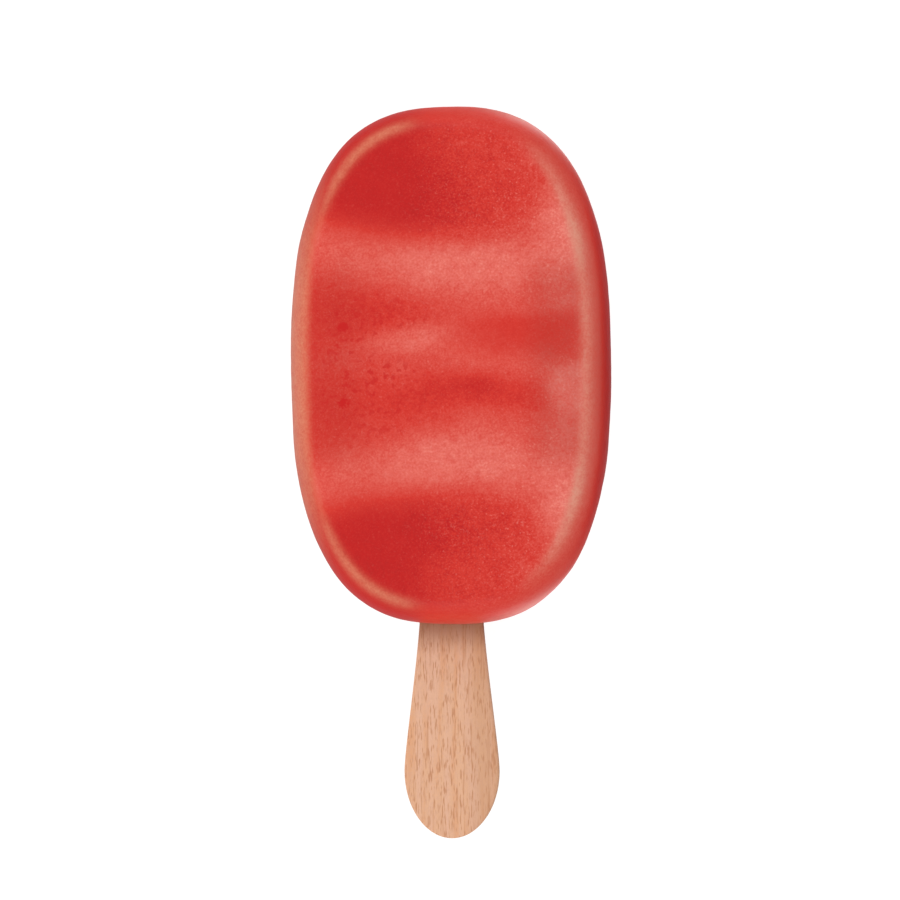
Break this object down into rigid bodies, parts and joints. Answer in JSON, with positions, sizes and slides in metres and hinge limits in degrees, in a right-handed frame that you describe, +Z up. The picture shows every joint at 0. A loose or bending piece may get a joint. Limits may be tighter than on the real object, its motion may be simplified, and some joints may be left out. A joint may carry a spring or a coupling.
{
  "type": "ice pop",
  "caption": "Oval bar of frozen fruit ice with a ridged face and rounded edges, on a flat waisted wooden stick, lying on its back.",
  "frame": {"origin": "on the surface the pop lies on, under the middle of its bounding box", "axes": "+X across the bar, +Y along it towards the tip away from the stick, +Z up, out of the bar's face"},
  "size_m": [0.0572, 0.1308, 0.0245],
  "materials": {
    "fruit_ice": "frozen red fruit ice, slightly translucent, satin, with fine ice grain and paler frosted ridges",
    "beech": "raw beech, sanded smooth, with short brown flecks along the grain"
  },
  "bodies": {
    "root": {"ice": "fruit_ice", "stick": "beech"}
  },
  "joints": []
}
